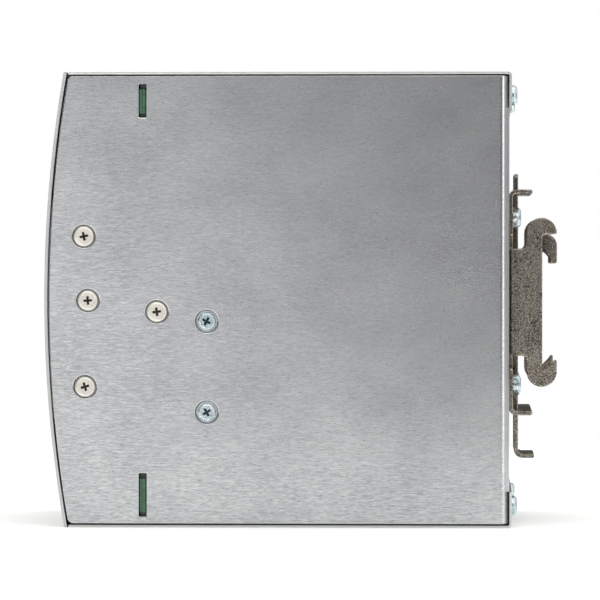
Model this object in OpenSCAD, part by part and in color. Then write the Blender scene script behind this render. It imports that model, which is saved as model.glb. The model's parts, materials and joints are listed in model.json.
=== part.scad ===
// DIN rail power supply: folded sheet-metal case with a spring-loaded rail clip at the back.
// Units are millimetres. X is the width, the front faces -Y, the rail clip is at +Y, Z is up.
// Inside the modules, y is counted from the foremost point of the front; in_case() moves it
// into the shared frame, whose origin is the bottom centre of the overall box.

/* [Case] */
// Overall width over both side faces
body_w = 85.5; // [84:0.5:100]
// Overall height over the cover sheets
body_h = 125.2; // [124:0.2:135]
// Depth from the front to the rear lips, without the rail clip
body_d = 128.5; // [126:0.5:150]
// Radius of the bulged front, seen from the side
front_r = 365; // [350:5:500]
// Thickness of the aluminium side and back wall
wall_t = 2; // [1.5:0.1:2.2]
// Thickness of the folded cover sheet
cover_t = 0.7; // [0.5:0.1:0.8]
// Thickness of the front panel
panel_t = 0.9; // [0.7:0.1:1]
// Height of the cover lips that fold over the back wall
lip_h = 10; // [9:0.5:14]

/* [Vents] */
// Number of vent slots across the width
vent_cols = 11; // [6:1:12]
// Number of vent rows along the depth
vent_rows = 4; // [2:1:4]
// Width of one vent slot
vent_w = 2.6; // [2:0.1:3.5]
// Length of one vent slot
vent_l = 18; // [10:1:20]

/* [Rail clip] */
// Thickness of the clip's sheet steel
clip_t = 1.2; // [1:0.1:1.3]
// Height of the rail's lower lip when the unit hangs on it
rail_low_z = 42.6; // [42.6:0.1:44]
// Half the width of the fixed bracket over its two side flanges
bracket_half_w = 30.5; // [28:0.5:34]
// Half the width of the sliding catch
slider_half_w = 12; // [11:0.5:13]

/* [Terminals] */
// Distance between neighbouring poles
pole_pitch = 9; // [9:0.1:10]
// Poles in the input block
input_poles = 3; // [3:1:3]
// Poles in the output block
output_poles = 4; // [4:1:4]
// Poles in the signal relay block
alarm_poles = 2; // [2:1:2]
// Running clearance between a clamp screw and its bores
thread_gap = 0.06; // [0.03:0.01:0.09]

/* [Hidden] */
$fn = 48;
big_fn = 256;
half_w = body_w / 2;
mid_z = body_h / 2;
back_y = body_d - cover_t;
seat_y = back_y + 9.2;
front_y = -(seat_y + 4.4) / 2;
edge_gap = 0.35;
wall_x = half_w - wall_t;
left_x = -half_w + cover_t + 0.15;
bend_in = 0.5;
board_y = 26.3;
board_t = 1.6;
tab_slot_y = [26.1, 28.1];
top_slot_z = [body_h - 12.5, body_h - 3.4];
low_slot_z = [3.0, 14.9];
front_screws = [[10.9, 80.05], [12.0, 62.4], [11.2, 38.7]];
arm_screw = [31.0, 59.3];
bar_screws = [[44.7, 56.7], [44.7, 31.7]];
dimple_r = 3.15;
dimple_depth = 1.2;
m3_r = 1.5;
lip_screw_x = 35;
lip_screw_z = [5.8, body_h - 6.3];
ear_screw_x = 22;
ear_screw_z = [rail_low_z - 3.9, rail_low_z + 42.7];
web_y = back_y + clip_t;
strip_y = web_y + 0.3;
spring_z = [rail_low_z + 7.4, rail_low_z + 30.2];
spring_y = strip_y + 2.4;
hook_r = 4.17;
input_x = 12;
output_x = 14;
alarm_x = -22;
block_face = 0.2;
block_depth = 16.5;
block_y = [7.4, 25.9];
screw_depth = 7.5;
screw_r = 1.75;
cage_y = [12.9, 22.9];
cage_half_w = 3.5;
bar_y = [16.2, 17.1];
led_x = -30;
led_z = 66;
trim_z = 78;
main_x = -36.8;
comp_x = main_x + board_t;
board_rows = [[36, 12], [36, 113], [117.5, 12], [117.5, 113]];

// ---- helpers ----

// Moves a piece from case depths into the shared frame.
module in_case() {
    translate([0, front_y, 0]) children();
}

// A box given by its low and high corner values.
module box(x, y, z) {
    translate([x[0], y[0], z[0]]) cube([x[1] - x[0], y[1] - y[0], z[1] - z[0]]);
}

// Extrudes a flat (y, z) outline along the width.
module along_x(x) {
    translate([x[0], 0, 0]) rotate([90, 0, 90]) linear_extrude(height = x[1] - x[0]) children();
}

// Extrudes a flat (x, z) outline along the depth.
module along_y(y) {
    translate([0, y[1], 0]) rotate([90, 0, 0]) linear_extrude(height = y[1] - y[0]) children();
}

// Extrudes a flat (x, y) outline along the height.
module along_z(z) {
    translate([0, 0, z[0]]) linear_extrude(height = z[1] - z[0]) children();
}

// A round bar along the width.
module rod_x(y, z, x, r) {
    translate([x[0], y, z]) rotate([0, 90, 0]) cylinder(r = r, h = x[1] - x[0]);
}

// A round bar along the depth.
module rod_y(x, z, y, r) {
    translate([x, y[1], z]) rotate([90, 0, 0]) cylinder(r = r, h = y[1] - y[0]);
}

// A flat rectangle with rounded corners.
module round_rect(a, b, r) {
    translate([a[0] + r, b[0]]) square([a[1] - a[0] - 2 * r, b[1] - b[0]]);
    translate([a[0], b[0] + r]) square([a[1] - a[0], b[1] - b[0] - 2 * r]);
    for (u = [a[0] + r, a[1] - r], v = [b[0] + r, b[1] - r]) {
        translate([u, v]) circle(r = r);
    }
}

// Everything behind the curved front, set back by a given distance.
module behind_front(setback) {
    translate([-half_w - 5, front_r, mid_z]) rotate([0, 90, 0])
        cylinder(r = front_r - setback, h = body_w + 10, $fn = big_fn);
}

// The x positions of the poles of a block.
function pole_x(centre, poles, i) = centre + (i - (poles + 1) / 2) * pole_pitch;

// Mirrors a piece drawn for the top face down to the bottom face when asked.
module on_face(top) {
    if (top) {
        translate([0, 0, body_h]) mirror([0, 0, 1]) children();
    } else {
        children();
    }
}

// ---- sheet-metal case ----

// The aluminium side wall, back wall and left flange, folded from one sheet.
module chassis() {
    color("silver") in_case() difference() {
        intersection() {
            along_z([cover_t + edge_gap, body_h - cover_t - edge_gap]) difference() {
                round_rect([left_x, half_w], [-20, back_y], bend_in + wall_t);
                round_rect([left_x + wall_t, wall_x], [-30, back_y - wall_t], bend_in);
                translate([left_x - 1, -30]) square([wall_t + 2, back_y - 14 + 30]);
            }
            behind_front(panel_t + edge_gap);
        }
        box([wall_x - 1, half_w + 1], tab_slot_y, top_slot_z);
        box([wall_x - 1, half_w + 1], tab_slot_y, low_slot_z);
        for (p = concat(front_screws, [arm_screw], bar_screws)) {
            rod_x(p[0], p[1], [half_w - dimple_depth, half_w + 1], dimple_r);
            rod_x(p[0], p[1], [wall_x - 1, half_w + 1], m3_r);
        }
        for (x = [-lip_screw_x, lip_screw_x], z = lip_screw_z) {
            rod_y(x, z, [back_y - wall_t - 1, back_y + 1], m3_r);
        }
        for (x = [-ear_screw_x, ear_screw_x], z = ear_screw_z) {
            rod_y(x, z, [back_y - wall_t - 1, back_y + 1], m3_r);
        }
    }
}

// One long vent slot lying along the depth.
module vent_slot() {
    translate([-vent_w / 2, -vent_l / 2 + vent_w / 2]) square([vent_w, vent_l - vent_w]);
    for (s = [-1, 1]) {
        translate([0, s * (vent_l - vent_w) / 2]) circle(r = vent_w / 2, $fn = 24);
    }
}

// The vent slots of the top and bottom sheet.
module vents() {
    for (i = [0 : vent_cols - 1], j = [0 : vent_rows - 1]) {
        translate([(i - (vent_cols - 1) / 2) * 6.6, 42 + j * 22]) vent_slot();
    }
}

// The gap in a cover sheet that a terminal block fills.
module block_notch(centre, poles) {
    half = poles * pole_pitch / 2 + 1.5;
    box([centre - half, centre + half], [-1, block_y[1] + 0.2], [-1, cover_t + 1]);
}

// The folded cover: top, left side and bottom, with lips over the back wall.
module cover() {
    color("gainsboro") in_case() difference() {
        intersection() {
            union() {
                along_x([-half_w, half_w]) difference() {
                    round_rect([-20, body_d], [0, body_h], 1.2);
                    round_rect([-30, back_y], [cover_t, body_h - cover_t], bend_in);
                }
                box([-half_w, -half_w + cover_t], [0, back_y], [0.2, body_h - 0.2]);
            }
            along_y([0, body_d]) round_rect([-half_w, half_w + 9], [0, body_h], 1.2);
            behind_front(panel_t + edge_gap);
            box([-half_w, half_w], [0, body_d], [0, body_h]);
        }
        box([-half_w - 1, half_w + 1], [back_y, body_d + 1], [lip_h, body_h - lip_h]);
        along_z([-1, body_h + 1]) vents();
        on_face(true) block_notch(input_x, input_poles);
        on_face(false) block_notch(output_x, output_poles);
        on_face(false) block_notch(alarm_x, alarm_poles);
        for (x = [-lip_screw_x, lip_screw_x], z = lip_screw_z) {
            rod_y(x, z, [back_y - 1, body_d + 1], m3_r);
        }
    }
}

// The screw holes of one block in the front panel.
module panel_holes(centre, poles) {
    for (i = [1 : poles]) {
        rod_y(pole_x(centre, poles, i), screw_depth + block_face, [-1, 12], 3.3);
    }
}

// The bulged front panel with a flange that takes the side screws.
module front_panel() {
    color("lightgray") in_case() difference() {
        union() {
            along_x([-half_w, half_w]) intersection() {
                difference() {
                    translate([front_r, mid_z]) circle(r = front_r, $fn = big_fn);
                    translate([front_r, mid_z]) circle(r = front_r - panel_t, $fn = big_fn);
                }
                square([12, body_h]);
            }
            intersection() {
                box([wall_x - panel_t, wall_x], [0, 17.5], [30, 90]);
                behind_front(panel_t / 2);
            }
            intersection() {
                box([-half_w + cover_t, -half_w + cover_t + panel_t], [0, 15], [25, 100]);
                behind_front(panel_t / 2);
            }
        }
        for (p = front_screws) {
            rod_x(p[0], p[1], [wall_x - 2, wall_x + 1], m3_r);
        }
        on_face(true) panel_holes(input_x, input_poles);
        on_face(false) panel_holes(output_x, output_poles);
        on_face(false) panel_holes(alarm_x, alarm_poles);
        rod_y(led_x, led_z, [-1, 12], 1.6);
        rod_y(led_x, trim_z, [-1, 12], 2.5);
    }
}

// A flush cross-head screw driven in along the width.
module side_screw(p, head_r, reach) {
    head_x = half_w - dimple_depth;
    difference() {
        union() {
            rod_x(p[0], p[1], [head_x, half_w - 0.05], head_r);
            rod_x(p[0], p[1], [wall_x - reach, head_x], m3_r);
        }
        for (turn = [0, 90]) {
            translate([half_w, p[0], p[1]]) rotate([turn, 0, 0])
                translate([-0.85, -1.3, -0.3]) cube([1, 2.6, 0.6]);
        }
    }
}

// Four nickel-plated screws in the side wall.
module side_screws_nickel() {
    color("silver") in_case() {
        for (p = front_screws) {
            side_screw(p, 2.7, 3);
        }
        side_screw(arm_screw, 2.7, 5);
    }
}

// Two zinc-plated screws in the side wall.
module side_screws_zinc() {
    color("lightsteelblue") in_case() for (p = bar_screws) {
        side_screw(p, 2.4, 5);
    }
}

// A pan-head cross-recess screw driven in from behind.
module rear_screw(x, z, y, head_r, head_h, reach) {
    difference() {
        union() {
            rod_y(x, z, [y, y + head_h - 0.5], head_r);
            translate([x, y + head_h - 0.5, z]) rotate([-90, 0, 0])
                cylinder(r1 = head_r, r2 = head_r - 0.6, h = 0.5);
            rod_y(x, z, [y - reach, y], m3_r);
        }
        for (turn = [0, 90]) {
            translate([x, y + head_h, z]) rotate([0, turn, 0])
                translate([-1.5, -1, -0.35]) cube([3, 1.5, 0.7]);
        }
    }
}

// Four screws that hold the cover lips to the back wall.
module lip_screws() {
    color("silver") in_case() for (x = [-lip_screw_x, lip_screw_x], z = lip_screw_z) {
        rear_screw(x, z, body_d, 2.75, 1.5, 4.5);
    }
}

// ---- rail clip ----

// A filled inner corner of radius r whose square corner lies at the origin.
module corner_fill(r) {
    difference() {
        square([r, r]);
        translate([r, r]) circle(r = r);
    }
}

// Outline of one fixed flange: rail seat, upper stop and lower hook, both with round ends.
module bracket_side() {
    z = rail_low_z;
    y = seat_y;
    round_y = y + 4 - hook_r;
    difference() {
        union() {
            translate([web_y + 0.6, z + 4.4]) square([y - web_y - 0.6, 29.7]);
            translate([round_y - hook_r, z]) square([2 * hook_r, 38.45]);
            translate([round_y, z]) circle(r = hook_r);
            translate([round_y, z + 38.45]) circle(r = hook_r);
            translate([round_y - hook_r, z + 4.4]) rotate(180) corner_fill(1.3);
            translate([round_y - hook_r, z + 34.1]) rotate(90) corner_fill(1.3);
        }
        difference() {
            translate([y, z + 3.3]) square([5, 34.8]);
            translate([y, z + 38.1]) rotate(-90) corner_fill(0.9);
        }
        polygon([[y, z + 3.4], [y, z + 2], [y - 0.25, z + 1.7], [y - 0.25, z + 0.5], [y + 0.4, z],
            [y + 2.7, z + 2.4], [y + 3.3, z + 3.4]]);
    }
}

// Outline of an ear of the bracket that ends in a tab bent away from the wall.
module bent_ear(length, reach, bend_r) {
    translate([0, bend_r]) square([clip_t, length - bend_r]);
    translate([bend_r, 0]) square([reach - bend_r, clip_t]);
    intersection() {
        square([bend_r, bend_r]);
        difference() {
            translate([bend_r, bend_r]) circle(r = bend_r);
            translate([bend_r, bend_r]) circle(r = bend_r - clip_t);
        }
    }
}

// The fixed bracket that is screwed to the back wall.
module rail_bracket() {
    z = rail_low_z;
    h = bracket_half_w;
    ends = [z - 12.1, z + 50.45];
    color("tan") in_case() difference() {
        union() {
            along_y([back_y, web_y]) {
                round_rect([-h + 1.5, h - 1.5], [z - 9, z + 1.2], 1.2);
                round_rect([-h + 1.5, h - 1.5], [z + 37.1, z + 48], 1.2);
                translate([-h + 5, z - 8]) square([2 * h - 10, 54]);
                translate([-h + 1.8, z + 4.4]) square([2 * h - 3.6, 29.7]);
            }
            along_x([-h + 1.5, h - 1.5]) {
                translate([back_y, ends[0]]) bent_ear(6, 6.5, 2);
                translate([back_y, ends[1]]) mirror([0, 1]) bent_ear(6, 6.5, 2);
            }
            for (s = [0, 1]) {
                mirror([s, 0, 0]) {
                    along_x([h - clip_t, h]) bracket_side();
                    along_z([z + 4.4, z + 34.1]) intersection() {
                        difference() {
                            translate([h - 1.8, back_y + 1.8]) circle(r = 1.8);
                            translate([h - 1.8, back_y + 1.8]) circle(r = 0.6);
                        }
                        translate([h - 1.8, back_y]) square([1.8, 1.8]);
                    }
                }
            }
            box([-2.4, 2.4], [back_y + 0.2, strip_y + 4.9], [spring_z[1], spring_z[1] + clip_t]);
        }
        for (end = ends) {
            box([-slider_half_w - 0.3, slider_half_w + 0.3], [web_y, strip_y + clip_t + 0.3],
                [end - 3, end + 3]);
        }
        for (x = [-ear_screw_x, ear_screw_x], s = ear_screw_z) {
            rod_y(x, s, [back_y - 1, web_y + 1], m3_r);
        }
    }
}

// Outline of one flange of the sliding catch, with its beak.
module slider_side() {
    z = rail_low_z;
    y = seat_y;
    difference() {
        union() {
            translate([strip_y + clip_t / 2, z + 15.4]) square([y - strip_y - clip_t / 2, 18.7]);
            round_rect([y - 4, y + 2.6], [z + 24, z + 38.2], 1.2);
            translate([y + 1.2, z + 35]) circle(r = 3.2);
            translate([y + 1.2, z + 31]) square([3.2, 4]);
            round_rect([y + 2.2, y + 4.4], [z + 29.9, z + 32], 0.7);
        }
        translate([y, z + 10]) square([6, 19.9]);
        polygon([[y, z + 10], [y + 2.27, z + 10], [y + 2.27, z + 31.75], [y + 1.1, z + 33],
            [y, z + 33]]);
    }
}

// The spring-loaded catch that slides up to let the rail go.
module rail_slider() {
    z = rail_low_z;
    h = slider_half_w;
    color("tan") in_case() difference() {
        union() {
            along_y([strip_y, strip_y + clip_t]) round_rect([-h, h], [z - 22, z + 55], 1.2);
            along_x([-h, h]) translate([strip_y, z - 24.7]) bent_ear(6, 5.7, 2.4);
            for (s = [0, 1]) {
                mirror([s, 0, 0]) along_x([h - clip_t, h]) slider_side();
            }
            box([-2.4, 2.4], [strip_y + 0.2, strip_y + 4.9], [spring_z[0] - clip_t, spring_z[0]]);
        }
        along_y([strip_y - 1, strip_y + clip_t + 1])
            round_rect([-3.6, 3.6], [spring_z[0], spring_z[1] + clip_t + 0.3], 0.4);
        along_y([strip_y - 1, strip_y + clip_t + 1]) round_rect([-3.5, 3.5], [z - 19.6, z - 16], 1.7);
    }
}

// One ring of points around the spring wire at a given angle.
function coil_ring(angle, z, coil, wire, sides) = [for (k = [0 : sides - 1])
    let (a = 360 * k / sides)
    [(coil + wire * cos(a)) * cos(angle), (coil + wire * cos(a)) * sin(angle), z + wire * sin(a)]];

// The compression spring between the fixed finger and the catch.
module slider_spring() {
    turns = 9;
    steps = 20;
    sides = 8;
    coil = 1.85;
    wire = 0.35;
    length = spring_z[1] - spring_z[0] - 2 * wire - 0.04;
    rings = turns * steps;
    points = [for (i = [0 : rings]) each coil_ring(360 * i / steps, length * i / rings, coil, wire, sides)];
    faces = concat(
        [[for (k = [0 : sides - 1]) k]],
        [for (i = [0 : rings - 1], k = [0 : sides - 1])
            [i * sides + k, (i + 1) * sides + k, (i + 1) * sides + (k + 1) % sides,
                i * sides + (k + 1) % sides]],
        [[for (k = [sides - 1 : -1 : 0]) rings * sides + k]]);
    color("silver") in_case() translate([0, spring_y, spring_z[0] + wire + 0.02])
        polyhedron(points = points, faces = faces, convexity = 8);
}

// Four screws that hold the bracket to the back wall.
module bracket_screws() {
    color("lightsteelblue") in_case() for (x = [-ear_screw_x, ear_screw_x], z = ear_screw_z) {
        rear_screw(x, z, web_y, 2.9, 2.2, 5);
    }
}

// ---- terminal blocks ----

// A moulded block: wire funnels on the outer face, screw wells on the front.
module block(centre, poles, top) {
    half = poles * pole_pitch / 2 + 1.2;
    on_face(top) difference() {
        box([centre - half, centre + half], block_y, [block_face, block_face + block_depth]);
        for (i = [1 : poles]) {
            translate([pole_x(centre, poles, i), 0, block_face]) {
                rod_y(0, screw_depth, [block_y[0] - 1, 9.05], 3.2);
                rod_y(0, screw_depth, [9, 10], screw_r + thread_gap);
                box([-3.8, 3.8], [9.85, 23.3], [3, 11.6]);
                box([-2.7, 2.7], [17.1, 21.9], [-1, 4]);
                box([-2.2, 2.2], bar_y, [3, 14.6]);
                box([-0.8, 0.8], [bar_y[0], block_y[1] + 1], [13.4, 14.6]);
            }
        }
    }
}

// The metal bars of a block, each ending in a pin through the terminal board.
module contacts(centre, poles, top) {
    on_face(top) for (i = [1 : poles]) {
        translate([pole_x(centre, poles, i), 0, block_face]) {
            box([-2.2, 2.2], bar_y, [3, 14.6]);
            box([-0.8, 0.8], [bar_y[0], board_y + board_t + 1.2], [13.4, 14.6]);
        }
    }
}

// A clamp screw with a slotted head, facing the front.
module clamp_screw(centre, poles, i, top) {
    on_face(top) translate([pole_x(centre, poles, i), 0, block_face + screw_depth]) difference() {
        union() {
            rod_y(0, 0, [7.45, 8.9], 2.9);
            rod_y(0, 0, [8.9, 15.9], screw_r);
        }
        box([-3, 3], [7, 8.3], [-0.4, 0.4]);
        box([-1.4, 1.4], [7, 8.3], [-1.4, 1.4]);
    }
}

// A rising cage: its front wall runs on the screw, its rear wall lifts the wire.
module clamp_cage(centre, poles, i, top) {
    on_face(top) translate([pole_x(centre, poles, i), 0, block_face + screw_depth]) difference() {
        box([-cage_half_w, cage_half_w], cage_y, [-3.5, 3.5]);
        box([-cage_half_w + 0.8, cage_half_w - 0.8], [cage_y[0] + 1.5, cage_y[1] - 0.9], [-5, 5]);
        rod_y(0, 0, [cage_y[0] - 1, cage_y[0] + 2], screw_r + thread_gap);
    }
}

module input_block() { color("darkslategray") in_case() block(input_x, input_poles, true); }
module output_block() { color("darkslategray") in_case() block(output_x, output_poles, false); }
module alarm_block() { color("darkslategray") in_case() block(alarm_x, alarm_poles, false); }
module input_contacts() { color("goldenrod") in_case() contacts(input_x, input_poles, true); }
module output_contacts() { color("goldenrod") in_case() contacts(output_x, output_poles, false); }
module alarm_contacts() { color("goldenrod") in_case() contacts(alarm_x, alarm_poles, false); }
module input_screw(i) { color("silver") in_case() clamp_screw(input_x, input_poles, i, true); }
module output_screw(i) { color("silver") in_case() clamp_screw(output_x, output_poles, i, false); }
module alarm_screw(i) { color("silver") in_case() clamp_screw(alarm_x, alarm_poles, i, false); }
module input_cage(i) { color("silver") in_case() clamp_cage(input_x, input_poles, i, true); }
module output_cage(i) { color("silver") in_case() clamp_cage(output_x, output_poles, i, false); }
module alarm_cage(i) { color("silver") in_case() clamp_cage(alarm_x, alarm_poles, i, false); }

// ---- boards and what stands on them ----

// The pin holes of one block in the terminal board.
module pin_holes(centre, poles, top) {
    on_face(top) for (i = [1 : poles]) {
        x = pole_x(centre, poles, i);
        box([x - 0.8, x + 0.8], [board_y - 1, board_y + 3], [block_face + 13.4, block_face + 14.6]);
    }
}

// The upright board behind the front, with two tabs in the side wall.
module terminal_board() {
    y = [board_y, board_y + board_t];
    color("darkgreen") in_case() difference() {
        union() {
            box([-39, wall_x - 0.35], y, [2.5, body_h - 2.5]);
            box([0, half_w - 0.15], y, [body_h - 11.5, body_h - 4.8]);
            box([0, half_w - 0.15], y, [4.2, 13.4]);
        }
        along_y([board_y - 1, board_y + 3]) round_rect([-15, 32], [35, 92], 2);
        pin_holes(input_x, input_poles, true);
        pin_holes(output_x, output_poles, false);
        pin_holes(alarm_x, alarm_poles, false);
    }
}

// The upright main board along the left side.
module main_board() {
    color("darkgreen") in_case() difference() {
        box([main_x, comp_x], [30, 122], [6, 119]);
        for (p = board_rows) {
            rod_x(p[0], p[1], [main_x - 1, comp_x + 1], m3_r);
        }
    }
}

// Four pillars that carry the main board.
module board_pillars() {
    color("silver") in_case() for (p = board_rows) {
        low = p[0] > 100 ? left_x + wall_t : -half_w + cover_t;
        difference() {
            rod_x(p[0], p[1], [low, main_x], 2.8);
            rod_x(p[0], p[1], [main_x - 2.5, main_x + 1], m3_r);
        }
    }
}

// Four screws on the main board.
module board_screws() {
    color("silver") in_case() for (p = board_rows) {
        difference() {
            union() {
                rod_x(p[0], p[1], [comp_x, comp_x + 2], 2.75);
                rod_x(p[0], p[1], [main_x - 2, comp_x], m3_r);
            }
            for (turn = [0, 90]) {
                translate([comp_x + 2, p[0], p[1]]) rotate([turn, 0, 0])
                    translate([-1, -1.4, -0.35]) cube([2, 2.8, 0.7]);
            }
        }
    }
}

// The thin sheet that insulates the main board from the cover.
module insulation_sheet() {
    color("ivory") in_case() difference() {
        box([-41.2, -40.9], [31, 113], [4, 121]);
        for (p = board_rows) {
            rod_x(p[0], p[1], [-42, -40], 3.1);
        }
    }
}

// The trimmer's case on the terminal board.
module trimmer_body() {
    color("royalblue") in_case() difference() {
        box([led_x - 3.4, led_x + 3.4], [board_y - 5, board_y], [trim_z - 3.4, trim_z + 3.4]);
        rod_y(led_x, trim_z, [board_y - 6, board_y - 1.5], 1.6);
    }
}

// The slotted shaft that sets the output voltage.
module trimmer_shaft() {
    color("white") in_case() difference() {
        union() {
            rod_y(led_x, trim_z, [2.4, board_y - 5.3], 2);
            rod_y(led_x, trim_z, [board_y - 5.3, board_y - 1.8], 1.54);
        }
        box([led_x - 3, led_x + 3], [2, 3.4], [trim_z - 0.35, trim_z + 0.35]);
    }
}

// The light pipe from the status lamp to the front.
module light_pipe() {
    color("palegreen") in_case() {
        rod_y(led_x, led_z, [0.6, board_y - 4], 1.5);
        rod_y(led_x, led_z, [board_y - 4, board_y], 2.5);
    }
}

// Two E-shaped ferrite halves around the winding.
module transformer_core() {
    color("dimgray") in_case() difference() {
        box([comp_x + 6, comp_x + 46], [58, 88], [38, 80]);
        difference() {
            box([comp_x + 14, comp_x + 38], [50, 95], [44, 74]);
            rod_x(73, 59, [comp_x + 5, comp_x + 47], 7);
        }
    }
}

// The taped winding on the centre leg.
module transformer_winding() {
    color("khaki") in_case() difference() {
        union() {
            rod_x(73, 59, [comp_x + 14, comp_x + 38], 14);
            box([comp_x, comp_x + 6], [60, 86], [42, 76]);
        }
        rod_x(73, 59, [comp_x + 13, comp_x + 39], 7);
    }
}

// A ring core standing on the main board.
module ring_core(y, z, x, r_in, r_out) {
    difference() {
        rod_x(y, z, x, r_out);
        rod_x(y, z, [x[0] - 1, x[1] + 1], r_in);
    }
}

// The winding that wraps a ring core on all sides.
module ring_winding(y, z, x, r_in, r_out, t) {
    difference() {
        rod_x(y, z, [x[0] - t, x[1] + t], r_out + t);
        rod_x(y, z, [x[0] - t - 1, x[1] + t + 1], r_in - t);
        ring_core(y, z, x, r_in, r_out);
    }
}

module boost_choke_core() {
    color("darkolivegreen") in_case() ring_core(70, 101, [comp_x + 2.5, comp_x + 20], 9, 15);
}

module boost_choke_winding() {
    color("peru") in_case() ring_winding(70, 101, [comp_x + 2.5, comp_x + 20], 9, 15, 2);
}

module output_choke_core() {
    color("darkolivegreen") in_case() ring_core(72, 19, [comp_x + 2.5, comp_x + 18], 6, 11);
}

module output_choke_winding() {
    color("peru") in_case() ring_winding(72, 19, [comp_x + 2.5, comp_x + 18], 6, 11, 1.8);
}

// The mains filter choke, a wound ring with two stacked halves.
module filter_choke() {
    color("peru") in_case() ring_core(42.5, 98.5, [comp_x, comp_x + 14], 4, 9.5);
}

// Three large storage capacitors near the back.
module bulk_capacitors() {
    color("midnightblue") in_case() for (z = [26, 60, 94]) {
        rod_x(104, z, [comp_x, comp_x + 42], 12.5);
        rod_x(104, z, [comp_x + 42, comp_x + 43], 11);
    }
}

// Four capacitors that smooth the output.
module output_capacitors() {
    color("midnightblue") in_case() for (y = [35.3, 52.8], z = [24, 38]) {
        rod_x(y, z, [comp_x, comp_x + 24], 4.9);
    }
}

// Two boxed film capacitors of the mains filter.
module film_capacitors() {
    color("gold") in_case() {
        box([comp_x, comp_x + 18], [41, 53], [109, 118]);
        box([comp_x, comp_x + 18], [38, 56], [72, 84]);
    }
}

// The bridge rectifier, flat on its heat arm.
module rectifier() {
    color("black") in_case() {
        box([comp_x + 14, comp_x + 36], [30.2, 34], [53, 68]);
        for (z = [55, 59, 63, 66]) {
            box([comp_x, comp_x + 14], [31.8, 32.6], [z - 0.5, z + 0.5]);
        }
    }
}

// An aluminium angle that carries heat from the parts into the side wall.
module heat_arm(y, foot, z, screws) {
    difference() {
        union() {
            box([comp_x + 12, wall_x], y, z);
            box([wall_x - 5.5, wall_x], foot, z);
        }
        for (p = screws) {
            rod_x(p[0], p[1], [wall_x - 9, wall_x + 1], m3_r);
        }
    }
}

module primary_heat_arm() {
    color("silver") in_case() heat_arm([34, 36], [28.6, 36], [50, 70], [arm_screw]);
}

module secondary_heat_arm() {
    color("silver") in_case() heat_arm([40.4, 42.4], [40.4, 49], [20, 68], bar_screws);
}

// Three switching transistors on the second heat arm.
module power_transistors() {
    color("black") in_case() for (z = [27, 44, 61]) {
        box([comp_x + 16, comp_x + 32], [42.7, 47.5], [z - 6, z + 6]);
        for (s = [-4, 0, 4]) {
            box([comp_x, comp_x + 16], [44, 44.7], [z + s - 0.6, z + s + 0.6]);
        }
    }
}

// Thin pads under the transistors.
module thermal_pads() {
    color("lightgray") in_case() for (z = [27, 44, 61]) {
        box([comp_x + 15, comp_x + 33], [42.4, 42.7], [z - 7, z + 7]);
    }
}

// The relay that bridges the inrush limiter.
module relay() {
    color("white") in_case() box([comp_x, comp_x + 16], [92, 112], [107.2, 118]);
}

chassis();
cover();
front_panel();
side_screws_nickel();
side_screws_zinc();
lip_screws();
rail_bracket();
rail_slider();
slider_spring();
bracket_screws();
input_block();
input_contacts();
output_block();
output_contacts();
alarm_block();
alarm_contacts();
input_screw(1);  // input_screw_1
input_screw(2);  // input_screw_2
input_screw(3);  // input_screw_3
input_cage(1);  // input_cage_1
input_cage(2);  // input_cage_2
input_cage(3);  // input_cage_3
output_screw(1);  // output_screw_1
output_screw(2);  // output_screw_2
output_screw(3);  // output_screw_3
output_screw(4);  // output_screw_4
output_cage(1);  // output_cage_1
output_cage(2);  // output_cage_2
output_cage(3);  // output_cage_3
output_cage(4);  // output_cage_4
alarm_screw(1);  // alarm_screw_1
alarm_screw(2);  // alarm_screw_2
alarm_cage(1);  // alarm_cage_1
alarm_cage(2);  // alarm_cage_2
terminal_board();
main_board();
board_pillars();
board_screws();
insulation_sheet();
trimmer_body();
trimmer_shaft();
light_pipe();
transformer_core();
transformer_winding();
boost_choke_core();
boost_choke_winding();
output_choke_core();
output_choke_winding();
filter_choke();
bulk_capacitors();
output_capacitors();
film_capacitors();
rectifier();
primary_heat_arm();
secondary_heat_arm();
power_transistors();
thermal_pads();
relay();
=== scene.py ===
# %% [markdown]
# # A DIN rail power supply
# This file dresses a finished CAD model of a cabinet power supply: a folded aluminium case with a
# bulged front, a spring-loaded rail clip at the back, and screw terminals at its front corners.
# The CAD parts stay where they are. We give them finishes, and build finer pieces where the plain
# part lacks what the eye looks for: rolled edges, screw recesses, wire turns.

# %% Load the frame
import json
import math

import bmesh
import bpy
from mathutils import Matrix, Vector


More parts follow.
